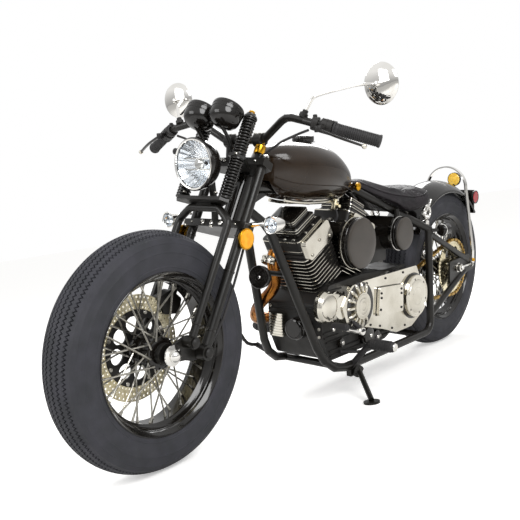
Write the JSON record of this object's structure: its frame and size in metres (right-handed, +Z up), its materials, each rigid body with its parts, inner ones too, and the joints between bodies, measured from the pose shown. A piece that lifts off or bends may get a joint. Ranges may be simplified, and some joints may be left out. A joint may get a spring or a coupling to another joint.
{
  "type": "chopper motorcycle",
  "caption": "Rigid-frame chopper motorcycle with a leading-link spring fork, an open V-twin engine, a solo saddle and wire wheels, leaning on its side stand.",
  "frame": {"origin": "middle of the bounding box at ground height", "axes": "+X forward along the wheelbase, +Y to the rider's left, +Z up; the machine leans 8 degrees to the left on its side stand"},
  "size_m": [2.208, 0.9035, 1.1043],
  "materials": {
    "amber": "moulded lens",
    "bright_alloy": "polished",
    "caliper_paint": "satin black",
    "chrome": "bright",
    "engine_paint": "satin black",
    "frame_paint": "gloss black",
    "leather": "black, grained",
    "lens": "clear, ribbed",
    "rim_paint": "gloss black",
    "rubber": "matt",
    "steel": "plated",
    "tank_paint": "satin dark grey",
    "tyre": "matt"
  },
  "bodies": {
    "frame": {"air_cleaner": "bright_alloy", "crankcase": "engine_paint", "cylinder_heads": "engine_paint", "cylinders": "engine_paint", "drive_chain": "steel", "engine_covers": "bright_alloy", "exhaust_pipes": "chrome", "fender_hoop": "chrome", "foot_controls": "rubber", "frame_backbone": "frame_paint", "frame_bottom_rails": "frame_paint", "frame_crossbars": "frame_paint", "frame_down_tubes": "frame_paint", "frame_lower_stays": "frame_paint", "frame_upper_rails": "frame_paint", "frame_upper_stays": "frame_paint", "frame_uprights": "frame_paint", "front_sprocket": "steel", "fuel_cap": "chrome", "fuel_tank": "tank_paint", "horn": "frame_paint", "oil_tank": "bright_alloy", "rear_axle": "chrome", "rear_caliper": "caliper_paint", "rear_fender": "tank_paint", "rear_indicators": "chrome", "rear_lamps": "amber", "seat": "leather", "seat_springs": "steel", "tail_bracket": "frame_paint"},
    "steering": {"fork_rear_legs": "frame_paint", "fork_front_legs": "frame_paint", "fork_springs": "chrome", "front_axle": "frame_paint", "handlebar": "frame_paint", "grips": "rubber", "bar_controls": "chrome", "mirrors": "chrome", "headlamp": "chrome", "headlamp_lens": "lens", "gauges": "chrome", "front_lamps": "chrome", "side_reflectors": "amber", "front_caliper": "caliper_paint", "speedometer_cable": "rubber", "control_cables": "rubber"},
    "front_wheel": {"front_tyre": "tyre", "front_rim": "rim_paint", "front_hub": "steel", "front_spokes": "steel"},
    "rear_wheel": {"rear_tyre": "tyre", "rear_rim": "rim_paint", "rear_hub": "steel", "rear_spokes": "steel", "rear_sprocket": "steel"},
    "side_stand": {"side_stand": "steel"}
  },
  "joints": [
    {"name": "steering", "type": "hinge", "parent": "frame", "child": "steering", "pos_m": [0.41781, -0.03415, 0.69367], "axis": [-0.4848, 0.1217, 0.8661], "range_deg": [-30, 30]},
    {"name": "front_wheel_spin", "type": "hinge", "parent": "steering", "child": "front_wheel", "pos_m": [0.78566, -0.08672, 0.31965], "axis": [0, 0.9903, -0.1392], "continuous": true},
    {"name": "rear_wheel_spin", "type": "hinge", "parent": "frame", "child": "rear_wheel", "pos_m": [-0.77434, -0.08672, 0.31965], "axis": [0, 0.9903, -0.1392], "continuous": true},
    {"name": "side_stand_fold", "type": "hinge", "parent": "frame", "child": "side_stand", "pos_m": [0.02566, 0.03346, 0.08262], "axis": [0.129, 0.5767, 0.8067], "range_deg": [0, 110]}
  ]
}
